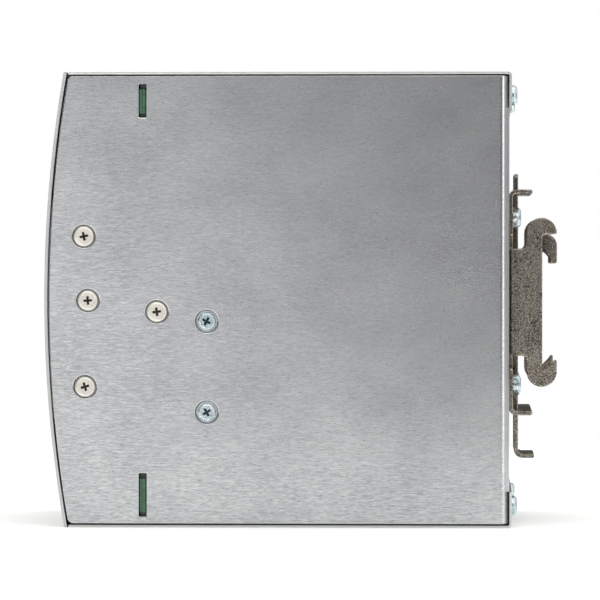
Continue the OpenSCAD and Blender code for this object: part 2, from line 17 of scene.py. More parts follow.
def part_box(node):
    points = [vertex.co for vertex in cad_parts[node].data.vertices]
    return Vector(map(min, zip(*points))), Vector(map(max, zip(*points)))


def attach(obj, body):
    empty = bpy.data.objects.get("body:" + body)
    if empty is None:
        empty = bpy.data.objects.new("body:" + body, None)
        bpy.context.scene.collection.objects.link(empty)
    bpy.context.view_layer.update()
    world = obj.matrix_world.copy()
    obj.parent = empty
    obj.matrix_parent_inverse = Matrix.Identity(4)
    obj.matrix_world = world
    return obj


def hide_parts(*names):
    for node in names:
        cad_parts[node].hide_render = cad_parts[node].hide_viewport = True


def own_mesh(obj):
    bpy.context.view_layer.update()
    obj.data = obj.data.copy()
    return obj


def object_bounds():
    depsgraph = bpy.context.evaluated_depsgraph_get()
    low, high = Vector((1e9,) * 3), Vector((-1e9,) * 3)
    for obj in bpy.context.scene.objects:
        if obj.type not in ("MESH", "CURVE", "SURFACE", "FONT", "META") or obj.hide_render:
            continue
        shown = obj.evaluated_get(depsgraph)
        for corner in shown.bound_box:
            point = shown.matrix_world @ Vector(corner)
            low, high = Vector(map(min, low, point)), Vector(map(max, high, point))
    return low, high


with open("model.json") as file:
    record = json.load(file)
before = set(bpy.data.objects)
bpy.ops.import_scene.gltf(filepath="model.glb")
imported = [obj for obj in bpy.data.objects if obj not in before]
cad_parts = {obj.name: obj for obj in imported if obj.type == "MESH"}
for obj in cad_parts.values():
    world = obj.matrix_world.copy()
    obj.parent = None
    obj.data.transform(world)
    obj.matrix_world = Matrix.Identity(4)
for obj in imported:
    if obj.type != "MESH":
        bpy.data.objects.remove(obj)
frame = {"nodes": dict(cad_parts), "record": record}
cad_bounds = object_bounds()
MM = 0.001

# %% [markdown]
# ## Selecting
# Operators act on whatever is selected, so each step starts by selecting nothing. `only` then picks
# one object. `pick` goes into edit mode and selects by a test on place or normal, where by hand we
# would click, and `done` comes back out.

# %% Selecting
def only(obj):
    """Makes obj the one selected and active object."""
    bpy.ops.object.select_all(action="DESELECT")
    obj.select_set(True)
    bpy.context.view_layer.objects.active = obj
    return obj


def pick(obj, test, kind="FACE"):
    """Enters edit mode and selects the faces, edges or vertices that pass the test."""
    only(obj)
    bpy.ops.object.mode_set(mode="EDIT")
    bpy.context.tool_settings.mesh_select_mode = [kind == k for k in ("VERT", "EDGE", "FACE")]
    bpy.ops.mesh.select_all(action="DESELECT")
    mesh = bmesh.from_edit_mesh(obj.data)
    for item in {"FACE": mesh.faces, "EDGE": mesh.edges, "VERT": mesh.verts}[kind]:
        item.select_set(test(item))
    mesh.select_flush_mode()
    bmesh.update_edit_mesh(obj.data)


def done():
    """Leaves edit mode."""
    bpy.ops.object.mode_set(mode="OBJECT")


print("selecting helpers ready")

# %% [markdown]
# ## Finishing a mesh
# `settle` bakes an object's place into its mesh, because every finished piece sits at the origin,
# unturned, just as the CAD parts do. A modifier is always applied at once. Shading is smooth across
# gentle edges only, and where a rounded edge meets a broad flat face, weighted normals keep the face
# from looking dished.

# %% Finishing
def settle(obj):
    """Puts the object's place into its mesh and leaves the object at the origin."""
    only(obj)
    bpy.ops.object.transform_apply(location=True, rotation=True, scale=True)
    return obj


def apply_modifier(obj, kind, **settings):
    """Adds a modifier with its settings and applies it at once."""
    only(obj)
    modifier = obj.modifiers.new(kind.title(), kind)
    for name, value in settings.items():
        setattr(modifier, name, value)
    bpy.ops.object.modifier_apply(modifier=modifier.name)
    return obj


def smooth(obj, degrees=35):
    """Smooth shading across gentle edges, crisp across sharp ones."""
    only(obj)
    bpy.ops.object.shade_smooth_by_angle(angle=math.radians(degrees))
    return obj


def flatten_shading(obj, degrees=35):
    """Smooth shading that leaves large flat faces truly flat."""
    smooth(obj, degrees)
    return apply_modifier(obj, "WEIGHTED_NORMAL", mode="FACE_AREA", weight=100, keep_sharp=True)


print("finishing helpers ready")

# %% [markdown]
# ## Joining, copying and placing
# Repeated shapes are modelled once. A `twin` has its own mesh, so that each copy can be placed in it.
# `place` attaches a piece to the body it moves with and hides the CAD parts it stands for.

# %% Joining, copying and placing
def join(objects, name):
    """Joins objects into one, under a new name."""
    only(objects[0])
    for obj in objects[1:]:
        obj.select_set(True)
    if len(objects) > 1:
        bpy.ops.object.join()
    objects[0].name = name
    objects[0].data.name = name
    return objects[0]


def twin(obj, shift=(0, 0, 0)):
    """A copy of obj with its own mesh, moved by shift metres."""
    copy = obj.copy()
    copy.data = obj.data.copy()
    bpy.context.scene.collection.objects.link(copy)
    copy.data.transform(Matrix.Translation(Vector(shift)))
    return copy


def place(obj, body, slot, *nodes):
    """Attaches a finished piece to the body it rides on and hides the CAD nodes it stands for; slot is not
    used.
    """
    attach(obj, body)
    if nodes:
        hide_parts(*nodes)
    return obj


print("joining helpers ready")

# %% [markdown]
# ## Starting from a CAD part
# A CAD mesh arrives as loose triangles. A copy of it is merged, and its flat triangles are dissolved
# into whole faces, so that a Bevel modifier can round the real edges of the sheet. Sheet metal that
# has been punched and tumbled never has a knife edge, and that thin bright line along each edge is
# much of what makes it read as metal.

# %% Copies of CAD parts
def clean_copy(node, name):
    """A merged copy of a CAD node's mesh, with its flat faces whole."""
    obj = bpy.data.objects.new(name, frame["nodes"][node].data.copy())
    bpy.context.scene.collection.objects.link(obj)
    obj.data.name = name
    obj.data.materials.clear()
    only(obj)
    bpy.ops.mesh.customdata_custom_splitnormals_clear()
    bpy.ops.object.mode_set(mode="EDIT")
    bpy.ops.mesh.select_all(action="SELECT")
    bpy.ops.mesh.remove_doubles(threshold=0.000002)
    bpy.ops.mesh.dissolve_limited(angle_limit=math.radians(0.4))
    bpy.ops.object.mode_set(mode="OBJECT")
    return obj


def round_edges(obj, edge, steps=3, skip=None):
    """Rounds every edge sharper than 30 degrees by edge millimetres, but none that skip picks out."""
    sharp = math.radians(30)
    pick(obj, lambda e: e.is_manifold and e.calc_face_angle() > sharp and not (skip and skip(e)), "EDGE")
    bpy.ops.transform.edge_bevelweight(value=1)
    done()
    apply_modifier(obj, "BEVEL", width=edge * MM, segments=steps, limit_method="WEIGHT",
                   use_clamp_overlap=False)
    return flatten_shading(obj)


def rounded_copy(node, name, edge, steps=3, skip=None):
    """A copy of a CAD node whose edges are rounded by edge millimetres."""
    return round_edges(clean_copy(node, name), edge, steps, skip)


print("copying helpers ready")

# %% [markdown]
# ## Where things are
# Places come from the CAD, never by eye. `solids` finds the separate lumps of a group, such as the
# four screws of one node, so that finer copies can be put exactly where the CAD has them. It walks
# from vertex to vertex along the edges until a lump has no more.

# %% Measuring the CAD
def solids(node):
    """The boxes of a node's separate lumps, each as (lowest corner, highest corner)."""
    mesh = bmesh.new()
    mesh.from_mesh(frame["nodes"][node].data)
    bmesh.ops.remove_doubles(mesh, verts=mesh.verts, dist=0.000002)
    seen, boxes = set(), []
    for start in mesh.verts:
        if start in seen:
            continue
        lump, queue = [], [start]
        seen.add(start)
        while queue:
            vert = queue.pop()
            lump.append(vert.co.copy())
            for edge in vert.link_edges:
                other = edge.other_vert(vert)
                if other not in seen:
                    seen.add(other)
                    queue.append(other)
        low = Vector([min(v[i] for v in lump) for i in range(3)])
        high = Vector([max(v[i] for v in lump) for i in range(3)])
        boxes.append((low, high))
    mesh.free()
    return sorted(boxes, key=lambda b: tuple(round(c, 5) for c in b[0]))


def middle(box):
    """The centre of a box."""
    return (box[0] + box[1]) / 2


case_low, case_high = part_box("chassis")
panel_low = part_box("front_panel")[0]
print("case", [round(v / MM, 1) for v in case_high - case_low], "mm")

# %% [markdown]
# ## Shader tools
# Colours are written as hex values as a screen shows them, and one function turns them to the linear
# values that Blender mixes light with. One more adds any node, sets its fields and makes its links.
# `finish` starts a material from its base colour, metalness and roughness.

# %% Nodes and colours
def linear(hex_colour):
    """A screen hex colour as linear red, green, blue and alpha."""
    channels = [int(hex_colour[i:i + 2], 16) / 255 for i in (0, 2, 4)]
    return [c / 12.92 if c <= 0.04045 else ((c + 0.055) / 1.055) ** 2.4 for c in channels] + [1.0]


def add(tree, kind, links=None, **fields):
    """Adds a shader node, sets its fields, and fills its sockets with values or other sockets."""
    made = tree.nodes.new("ShaderNode" + kind)
    for name, value in fields.items():
        setattr(made, name, value)
    for name, value in (links or {}).items():
        if isinstance(value, bpy.types.NodeSocket):
            tree.links.new(value, made.inputs[name])
        else:
            made.inputs[name].default_value = value
    return made


def finish(name, colour, metallic, roughness, **sockets):
    """A new material with a Principled shader, set to plain values."""
    material = bpy.data.materials.new(name)
    material.use_nodes = True
    shader = material.node_tree.nodes["Principled BSDF"]
    shader.inputs["Base Color"].default_value = linear(colour)
    shader.inputs["Metallic"].default_value = metallic
    shader.inputs["Roughness"].default_value = roughness
    for socket, value in sockets.items():
        shader.inputs[socket.replace("_", " ")].default_value = value
    material.diffuse_color = linear(colour)
    return material, material.node_tree, shader


print("colour and node helpers ready")

# %% [markdown]
# ## Patterns
# Real surfaces vary at several sizes at once. `spots` gives soft blotches of a real size in
# millimetres; stretching that size along one axis turns blotches into brush lines. `layered` weighs
# several patterns into one, and `surface` lets them run a material's colour, gloss and relief. Noise
# rarely leaves the middle of its range, so `USUAL` is the span that patterns are stretched from.

# %% Patterns
USUAL = (0.3, 0.7)


def spots(tree, size, detail=2.0, roughness=0.5):
    """Soft noise whose blotches measure size millimetres along x, y and z."""
    where = add(tree, "TexCoord").outputs["Object"]
    scale = [1 / (s * MM) for s in size]
    turned = add(tree, "Mapping", {"Vector": where, "Scale": scale}).outputs["Vector"]
    noise = add(tree, "TexNoise", {"Vector": turned, "Scale": 1.0, "Detail": detail,
                                   "Roughness": roughness})
    return noise.outputs["Fac"]


def layered(tree, *layers):
    """Adds up patterns, each as (pattern, share, start, end), its span stretched from nought to share."""
    total = None
    for pattern, share, start, end in layers:
        part = add(tree, "MapRange", {"Value": pattern, "From Min": start, "From Max": end,
                                      "To Min": 0.0, "To Max": share}).outputs["Result"]
        total = part if total is None else add(tree, "Math", {0: total, 1: part},
                                               operation="ADD").outputs[0]
    return total


def surface(tree, shader, tone, colours, gloss, rough, relief, depth, strength):
    """Lets tone mix two colours, gloss (pattern, start, end) run roughness, and relief press in."""
    mixed = add(tree, "Mix", {0: tone, 6: linear(colours[0]), 7: linear(colours[1])}, data_type="RGBA")
    tree.links.new(mixed.outputs[2], shader.inputs["Base Color"])
    pattern, start, end = gloss
    ranged = add(tree, "MapRange", {"Value": pattern, "From Min": start, "From Max": end,
                                    "To Min": rough[0], "To Max": rough[1]})
    tree.links.new(ranged.outputs["Result"], shader.inputs["Roughness"])
    pressed = add(tree, "Bump", {"Height": relief, "Distance": depth * MM, "Strength": strength})
    tree.links.new(pressed.outputs["Normal"], shader.inputs["Normal"])


print("pattern helpers ready")

# %% [markdown]
# ## Brushed aluminium
# The heat-sink wall is bare aluminium sheet, brushed along its length at the mill. The brush leaves
# short, narrow scratches that catch the light as fine dashes. They are drawn here 0.14 mm wide and
# 1.5 mm long, with coarser ones among them, which is wider than a real grit leaves, so that they show.
# The wall behind is brushed across, since the sheet was folded, so the pattern turns with the surface:
# where a face looks along Y, the dashes run along X. The relief is kept to a few microns.

# %% Brushed aluminium
def brushed_aluminium(name, colour, shade, dash=1.5, width=0.14, rough=(0.21, 0.29)):
    """Bare aluminium sheet with brush dashes, dash long and width wide in millimetres."""
    material, tree, shader = finish(name, colour, 1.0, sum(rough) / 2)
    facing = add(tree, "SeparateXYZ", {0: add(tree, "NewGeometry").outputs["Normal"]}).outputs["Y"]
    turned = add(tree, "Math", {0: facing}, operation="ABSOLUTE").outputs[0]
    across = add(tree, "Math", {0: turned, 1: 0.7}, operation="GREATER_THAN").outputs[0]
    fine, long = [
        add(tree, "Mix", {0: across, 2: spots(tree, (w, d, w), 3), 3: spots(tree, (d, w, w), 3)}).outputs[0]
        for d, w in ((dash, width), (dash * 2.6, width * 2.4))]
    lines = add(tree, "Mix", {0: 0.35, 2: fine, 3: long}).outputs[0]
    cloud = spots(tree, (9, 20, 14), detail=5)
    tone = layered(tree, (lines, 0.75, 0.36, 0.64), (cloud, 0.25, *USUAL))
    surface(tree, shader, tone, (shade, colour), (lines, 0.35, 0.65), (rough[1], rough[0]), lines,
            depth=0.008, strength=0.3)
    return material


side_aluminium = brushed_aluminium("brushed_aluminium_heat_wall", "DCDDDF", "A3A5A8")
print("made", side_aluminium.name)

# %% [markdown]
# ## Satin sheet
# The cover and the front panel are thin aluminium sheet with a mill finish: no brush lines to speak of,
# just a soft grain along the rolling direction and a faint cloudiness from handling.

# %% Satin sheet
def satin_sheet(name, colour, shade, grain=(6, 6, 0.35), rough=(0.34, 0.44)):
    """Mill-finished sheet with a soft grain, its blotches grain millimetres long on each axis."""
    material, tree, shader = finish(name, colour, 1.0, sum(rough) / 2)
    rolled = spots(tree, grain, detail=3)
    cloud = spots(tree, (14, 14, 14), detail=5)
    tone = layered(tree, (rolled, 0.8, *USUAL), (cloud, 0.2, *USUAL))
    surface(tree, shader, tone, (shade, colour), (cloud, *USUAL), (rough[1], rough[0]), rolled,
            depth=0.006, strength=0.5)
    return material


cover_sheet = satin_sheet("mill_finish_cover_sheet", "DEDEDC", "CBCCCC", rough=(0.33, 0.37))
front_sheet = satin_sheet("satin_front_sheet", "D2D2D0", "C9CACA", grain=(5, 0.4, 5), rough=(0.37, 0.38))
arm_aluminium = satin_sheet("extruded_aluminium_arm", "CDCDCB", "B0B0AF", grain=(0.3, 0.3, 8))
print("made", cover_sheet.name, front_sheet.name, arm_aluminium.name)

# %% [markdown]
# ## Plated steel
# Screws and the rail clip are steel under a thin plating. Barrel plating leaves a mottled skin: small
# dull pits a third of a millimetre wide, and broader clouds of a few millimetres. Nickel is a little
# warm, and blue-passivated zinc is cold and blotchy. The dark finish in a screw's recess is painted shade.

# %% Plated steel
def plated_steel(name, light, dark, mottle=0.9, rough=(0.22, 0.42), pit=0.02):
    """Barrel-plated steel, mottled from light to dark at mottle millimetres."""
    material, tree, shader = finish(name, light, 1.0, sum(rough) / 2)
    coarse = spots(tree, (mottle * 3, mottle * 3, mottle * 4), detail=5)
    fine = spots(tree, (mottle * 0.3,) * 3, detail=3, roughness=0.7)
    tone = layered(tree, (coarse, 0.3, *USUAL), (fine, 0.7, 0.44, 0.58))
    surface(tree, shader, tone, (dark, light), (tone, 0.0, 1.0), (rough[1], rough[0]), fine,
            depth=pit, strength=0.7)
    return material


clip_steel = plated_steel("dull_nickel_plated_clip", "C8BFB2", "26201A", mottle=1.1, rough=(0.2, 0.4),
                          pit=0.03)
nickel_plate = plated_steel("bright_nickel_screw", "F4F0E9", "D8D2C8", mottle=0.8, rough=(0.3, 0.44))
blue_zinc = plated_steel("blue_zinc_screw", "FBFDFD", "7C9FAB", mottle=1.0, rough=(0.2, 0.38))
# Painted shade: the two recess finishes are dark because the inside of a cross recess lies in shadow.
painted_shade_nickel = plated_steel("shadowed_nickel_recess", "6B5C49", "2E261C", mottle=0.3, rough=(0.4, 0.6))
painted_shade_zinc = plated_steel("shadowed_zinc_recess", "54707B", "1C2E36", mottle=0.6, rough=(0.35, 0.55))
clamp_steel = plated_steel("zinc_plated_clamp", "C9C8C2", "9D9C96", mottle=0.8)
spring_steel = plated_steel("drawn_spring_wire", "9C9A96", "6B6966", mottle=0.7)
contact_metal = plated_steel("tinned_brass_bar", "D2C9A8", "A99D74", mottle=1.0)
print("made", clip_steel.name, nickel_plate.name, blue_zinc.name)

# %% [markdown]
# ## Mouldings, tapes and sleeves
# Moulded polyamide is slightly rough from its spark-eroded mould, with a grain of about 0.15 mm. A
# winding's tape and a capacitor's sleeve are smooth, glossy film; pressed ferrite and a silicone pad
# are dull. One builder serves them all, since they differ only in colour, gloss and grain size.

# %% Moulded plastic and lacquer
def moulded(name, colour, shade, rough=0.45, grain=0.15, cloud=4.0, depth=0.01, **sockets):
    """A moulded plastic or coated part with a fine mould grain."""
    material, tree, shader = finish(name, colour, 0.0, rough, **sockets)
    skin = spots(tree, (grain,) * 3, detail=2)
    broad = spots(tree, (cloud,) * 3, detail=3)
    tone = layered(tree, (skin, 0.4, *USUAL), (broad, 0.6, *USUAL))
    surface(tree, shader, tone, (shade, colour), (broad, *USUAL), (rough * 0.85, rough * 1.15), skin,
            depth=depth, strength=0.5)
    return material


block_plastic = moulded("black_polyamide_block", "262A29", "1B1E1E", rough=0.5, IOR=1.53)
insulation_film = moulded("fibre_insulation_sheet", "D8D6C8", "C6C3B2", rough=0.6, grain=0.4, cloud=6)
trimmer_blue = moulded("blue_trimmer_case", "1F4F9E", "19408A", rough=0.4)
trimmer_white = moulded("white_nylon_shaft", "E4E3DD", "D2D0C8", rough=0.4)
clear_plastic = moulded("clear_green_light_pipe", "BFE3C4", "A9D6B0", rough=0.15, Transmission_Weight=0.6,
                        IOR=1.49)
ferrite = moulded("sintered_ferrite", "3B3B3D", "2A2A2C", rough=0.55, grain=0.25, cloud=2.5, depth=0.02)
winding_tape = moulded("yellow_polyester_tape", "D9B23A", "C39A22", rough=0.28, grain=0.5, cloud=5)
ring_core_green = moulded("green_coated_powder_core", "4E6B3B", "3D562D", rough=0.4, grain=0.3)
capacitor_sleeve = moulded("dark_shrink_sleeve", "1C2438", "141A2A", rough=0.25, grain=0.6, cloud=9,
                           Coat_Weight=0.3, Coat_Roughness=0.2)
film_yellow = moulded("yellow_film_capacitor_case", "D8B33C", "C79E28", rough=0.35)
epoxy_black = moulded("black_moulding_epoxy", "232323", "191919", rough=0.5, grain=0.2)
pad_grey = moulded("grey_silicone_pad", "9A9DA2", "878A90", rough=0.75, grain=0.3)
relay_plastic = moulded("white_relay_case", "DCDCD6", "CBCAC3", rough=0.35)
print("made the mouldings")

# %% [markdown]
# ## Boards and enamelled wire
# A board is dull glass cloth under green lacquer, with copper tracks that show faintly through it. A
# brick pattern, stood upright, is enough to suggest their runs. The tracks are drawn 7 mm apart, much
# coarser than real ones, so that they show through the slots. Enamelled wire is copper seen through
# amber lacquer, so it is a duller metal under a clear coat.

# %% Circuit board and enamelled wire
TRACK = 7.0


def circuit_board(name, mask, bare):
    """Green solder mask with faint copper tracks under it, and a glass weave."""
    material, tree, shader = finish(name, mask, 0.0, 0.32, Coat_Weight=0.35, Coat_Roughness=0.18)
    where = add(tree, "TexCoord").outputs["Object"]
    upright = add(tree, "Mapping", {"Vector": where, "Rotation": (0, math.radians(90), 0)})
    tracks = add(tree, "TexBrick", {
        "Vector": upright.outputs["Vector"], "Color1": linear(mask), "Color2": linear(bare),
        "Mortar": linear("1B3524"), "Scale": 1 / (TRACK * MM), "Mortar Size": 0.03, "Bias": -0.3})
    cloud = layered(tree, (spots(tree, (3, 3, 3)), 0.5, *USUAL))
    toned = add(tree, "Mix", {0: cloud, 6: tracks.outputs["Color"], 7: linear(mask)}, data_type="RGBA")
    tree.links.new(toned.outputs[2], shader.inputs["Base Color"])
    weave = add(tree, "Bump", {"Height": spots(tree, (0.5, 0.5, 0.5)), "Distance": 0.01 * MM,
                               "Strength": 0.5})
    tree.links.new(weave.outputs["Normal"], shader.inputs["Normal"])
    return material


def enamelled_copper(name, colour, shade):
    """Copper wire under a clear amber lacquer."""
    material, tree, shader = finish(name, colour, 0.75, 0.3, Coat_Weight=0.6, Coat_Roughness=0.12)
    cloud = layered(tree, (spots(tree, (2, 2, 2)), 1.0, *USUAL))
    toned = add(tree, "Mix", {0: cloud, 6: linear(shade), 7: linear(colour)}, data_type="RGBA")
    tree.links.new(toned.outputs[2], shader.inputs["Base Color"])
    return material


board_green = circuit_board("solder_mask_board", "2C5A3D", "1F452D")
copper_wire = enamelled_copper("enamelled_copper_wire", "B5612F", "8E4520")
print("made", board_green.name, copper_wire.name)

# %% [markdown]
# ## Every CAD part gets its finish
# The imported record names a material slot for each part, so one table from slot to material dresses
# them all. Finer pieces built further down replace some of them.

# %% Dress the CAD parts
finishes = {
    "side_aluminium": side_aluminium, "cover_sheet": cover_sheet, "front_sheet": front_sheet,
    "nickel_plate": nickel_plate, "blue_zinc": blue_zinc, "clip_steel": clip_steel,
    "spring_steel": spring_steel, "block_plastic": block_plastic, "contact_metal": contact_metal,
    "clamp_steel": clamp_steel, "board_green": board_green, "insulation_film": insulation_film,
    "trimmer_blue": trimmer_blue, "trimmer_white": trimmer_white, "clear_plastic": clear_plastic,
    "ferrite": ferrite, "winding_tape": winding_tape, "ring_core_green": ring_core_green,
    "copper_wire": copper_wire, "capacitor_sleeve": capacitor_sleeve, "film_yellow": film_yellow,
    "epoxy_black": epoxy_black, "arm_aluminium": arm_aluminium, "pad_grey": pad_grey,
    "relay_plastic": relay_plastic,
}
slot_of = {part["node"]: part["material_slot"] for part in frame["record"]["subparts"]}
body_of = {node: body for body, nodes in frame["record"]["behaviour"]["bodies"].items() for node in nodes}
for node_name, obj in frame["nodes"].items():
    obj.data.materials.clear()
    obj.data.materials.append(finishes[slot_of[node_name]])
print("dressed", len(frame["nodes"]), "parts from", len(finishes), "finishes")

# %% Dressed copies
def dressed_copy(node, name, edge, steps=3, skip=None):
    """A rounded copy of a CAD node, finished in its own slot and riding on its own body."""
    obj = rounded_copy(node, name, edge, steps, skip)
    obj.data.materials.append(finishes[slot_of[node]])
    return place(obj, body_of[node], slot_of[node], node)


print("dressing helper ready")

# %% [markdown]
# ## The heat-sink wall
# The side wall is punched from thick sheet, so its edges are slightly rounded. Its two front corners,
# seen from the side, are first rounded by `CORNER` millimetres with an edit-mode bevel, and then every
# sharp edge by a much smaller one. Rounding can push a vertex outward by a hair, so the outermost
# ones are set back to the case's own face.

# %% Heat-sink wall
CORNER = 1.4


def front_corner(edge):
    """True for the two short edges across the wall's thickness at its front, top and bottom."""
    first, second = (v.co for v in edge.verts)
    through = abs(first.x - second.x) > 1.5 * MM and (first - second).yz.length < 0.1 * MM
    near_end = min(first.z - case_low.z, case_high.z - first.z) < 0.2 * MM
    return through and near_end and first.y < case_low.y + 8 * MM


wall_copy = clean_copy("chassis", "heat_sink_wall")
pick(wall_copy, front_corner, "EDGE")
bpy.ops.mesh.bevel(offset=CORNER * MM, segments=6)
done()
heat_wall = round_edges(wall_copy, 0.37, 4)
for vert in heat_wall.data.vertices:
    vert.co.x = min(vert.co.x, case_high.x)
heat_wall.data.materials.append(side_aluminium)
place(heat_wall, "case", "side_aluminium", "chassis")
print(heat_wall.name, len(heat_wall.data.polygons), "faces")

# %% [markdown]
# ## Cover and front
# Both are thin sheet, so their edges are rounded by less than a quarter of a millimetre. The front's
# foremost vertices are set back to the panel's own front in the same way.

# %% Cover and front
cover_shell = dressed_copy("cover", "folded_cover", 0.14, 2)
front_shell = dressed_copy("front_panel", "bulged_front", 0.2, 2)
for vert in front_shell.data.vertices:
    vert.co.y = max(vert.co.y, panel_low.y)
for obj in (cover_shell, front_shell):
    print(obj.name, len(obj.data.polygons), "faces")

# %% [markdown]
# ## The rail clip
# The bracket and the catch are stamped from 1.2 mm steel and tumbled before plating, which rounds
# every edge by a third of a millimetre or so. Two notches in the bracket let the catch run through;
# their corners are too tight for that rounding, so `in_notch` leaves them square.

# %% Clip pieces
NOTCH = 12.3


def in_notch(edge):
    """True for the edges of the notches that the catch runs through, whose corners stay square."""
    return all(abs(abs(v.co.x) - NOTCH * MM) < 0.05 * MM for v in edge.verts)


bracket = dressed_copy("rail_bracket", "rail_bracket_finished", 0.38, 4, in_notch)
catch = dressed_copy("rail_slider", "rail_catch_finished", 0.3, 4)
print(bracket.name, len(bracket.data.polygons), "faces,", catch.name, len(catch.data.polygons))

# %% [markdown]
# ## Rods, blocks and cuts
# A turned or cut piece starts from a cylinder or a box at its real size. A second piece cuts a shape
# out of it with a Boolean modifier, as a mill would, and is then thrown away.

# %% Rods, blocks and cuts
def rod(name, radius, length, start=(0, 0, 0), sides=48):
    """A cylinder of radius and length millimetres standing on start."""
    bpy.ops.object.select_all(action="DESELECT")
    at = Vector(start) + Vector((0, 0, length / 2))
    bpy.ops.mesh.primitive_cylinder_add(vertices=sides, radius=radius * MM, depth=length * MM,
                                        location=at * MM)
    bpy.context.object.name = name
    return settle(bpy.context.object)


def block(name, low, high):
    """A box between two corners in millimetres."""
    bpy.ops.object.select_all(action="DESELECT")
    low, high = Vector(low), Vector(high)
    bpy.ops.mesh.primitive_cube_add(size=1, location=(low + high) / 2 * MM, scale=(high - low) * MM)
    bpy.context.object.name = name
    return settle(bpy.context.object)


def carve(obj, *cutters):
    """Cuts each cutter out of obj."""
    for cutter in cutters:
        apply_modifier(obj, "BOOLEAN", operation="DIFFERENCE", object=cutter, solver="EXACT")
        bpy.data.objects.remove(cutter)
    return obj


print("shaping helpers ready")

# %% [markdown]
# ## Cross-head screws
# The side screws are cold-headed: a punch forms the flat head, a shallow ring near its rim and the
# tapered cross recess in one blow. We turn the head from a cylinder, bevel its rim, inset the ring, and
# cut the cross with two tapered blades. The rear screws have pan heads, the same thing with a much
# rounder rim. The faces inside the cross get a darker finish: painted shade, as the recess lies in shadow.

# %% Cross-head screw
def blade(top, span, thick, depth, turn):
    """One tapered wing of a cross recess, its point down."""
    wing = block("blade", (-span / 2, -thick / 2, top - depth), (span / 2, thick / 2, top + 0.3))
    low = (top - depth) * MM
    pick(wing, lambda v: abs(v.co.z - low) < 1e-6, "VERT")
    bpy.ops.transform.resize(value=(0.42, 0.55, 1), center_override=(0, 0, low))
    done()
    wing.rotation_euler.z = turn
    return settle(wing)


def cross_screw(name, head_r, head_h, rim, span, shank, ring, plate, recess):
    """A cross-head screw along Z, the underside of its head at the origin, sizes in millimetres."""
    screw = rod(name, head_r, head_h, sides=72)
    pick(screw, lambda e: all(abs(v.co.z - head_h * MM) < 1e-6 for v in e.verts), "EDGE")
    bpy.ops.mesh.bevel(offset=rim * MM, segments=6, profile=0.5)
    done()
    pick(screw, lambda f: f.normal.z > 0.99)
    for thickness, depth in ring:
        bpy.ops.mesh.inset(thickness=thickness * MM, depth=depth * MM)
    done()
    pick(screw, lambda f: f.normal.z < -0.99)
    bpy.ops.mesh.inset(thickness=(head_r - 1.45) * MM)
    bpy.ops.mesh.extrude_region_move(TRANSFORM_OT_translate={"value": (0, 0, -shank * MM)})
    bpy.ops.mesh.inset(thickness=0.4 * MM, depth=0.4 * MM)
    done()
    head_top = max(v.co.z for v in screw.data.vertices) / MM
    carve(screw, *[blade(head_top, span, 0.78, 1.0, math.radians(turn)) for turn in (0, 90)])
    screw.data.materials.append(plate)
    # The second finish is painted shade for the faces inside the cross.
    screw.data.materials.append(recess)
    for face in screw.data.polygons:
        inside = face.center.xy.length < span * 0.52 * MM and 0 < face.center.z < (head_top - 0.2) * MM
        face.material_index = int(inside)
    return flatten_shading(screw, 40)


print("screw helpers ready")

# %% [markdown]
# ## Setting copies in place
# A pattern stands upright at the origin, where it is easy to model. Its copies are spun, laid along
# the axis they are driven in, and moved to where the CAD has them.

# %% Setting copies
def lay(obj, towards, at):
    """Turns a piece that stands along Z to point along X or Y, and moves it to a place."""
    obj.rotation_euler = {"X": (0, math.radians(90), 0), "Y": (math.radians(-90), 0, 0)}[towards]
    obj.location = at
    return settle(obj)


def copies(pattern, spots_at, towards, turns):
    """Copies of a standing piece at each place, each spun by its own angle; the pattern is removed."""
    made = []
    for at, turn in zip(spots_at, turns):
        copy = twin(pattern)
        copy.data.transform(Matrix.Rotation(math.radians(turn), 4, "Z"))
        made.append(lay(copy, towards, at))
    bpy.data.objects.remove(pattern)
    return made


print("setting helpers ready")

# %% [markdown]
# ## Side screws
# Four nickel screws and two zinc ones sit in pressed dimples, their heads just below the wall's face.
# They were driven by hand, so each cross stands at its own angle.

# %% Side screws
DIMPLE = 1.2
seat_x = case_high.x - DIMPLE * MM
nickel_at = [Vector((seat_x, *middle(b).yz)) for b in solids("side_screws_nickel")]
zinc_at = [Vector((seat_x, *middle(b).yz)) for b in solids("side_screws_zinc")]
flat_ring = [(0.38, 0.0), (0.12, -0.09), (0.14, 0.09)]
nickel_screw = cross_screw("nickel_pattern", head_r=2.7, head_h=1.03, rim=0.22, span=2.9, shank=4.0,
                           ring=flat_ring, plate=nickel_plate, recess=painted_shade_nickel)
zinc_screw = cross_screw("zinc_pattern", head_r=2.4, head_h=1.03, rim=0.3, span=2.9, shank=5.5,
                         ring=flat_ring, plate=blue_zinc, recess=painted_shade_zinc)
nickel_screws = join(copies(nickel_screw, nickel_at, "X", (8, 12, 17, 4)), "nickel_side_screws")
zinc_screws = join(copies(zinc_screw, zinc_at, "X", (30, 62)), "zinc_side_screws")
for screws, node in ((nickel_screws, "side_screws_nickel"), (zinc_screws, "side_screws_zinc")):
    place(screws, "case", slot_of[node], node)
print(len(nickel_at), "nickel and", len(zinc_at), "zinc side screws")

# %% [markdown]
# ## Rear screws
# Pan-head screws hold the cover's lips to the back wall, and larger ones hold the bracket. Their tops
# are known from the CAD, so the underside of each head lies one head height below.

# %% Rear screws
rear_sizes = {"lip_screws": {"head_r": 2.75, "head_h": 1.5, "rim": 1.05, "span": 2.6, "shank": 4.0},
              "bracket_screws": {"head_r": 2.9, "head_h": 2.2, "rim": 1.35, "span": 2.8, "shank": 4.5}}
for node, size in rear_sizes.items():
    head_y = min(b[1].y for b in solids(node)) - size["head_h"] * MM
    at = [Vector((middle(b).x, head_y, middle(b).z)) for b in solids(node)]
    pan = cross_screw(node + "_pattern", **size, ring=[], plate=blue_zinc, recess=painted_shade_zinc)
    rear = join(copies(pan, at, "Y", (12, 50, 33, 70)), node + "_turned")
    place(rear, "case", slot_of[node], node)
    print(rear.name, len(at), "pieces,", len(rear.data.polygons), "faces")

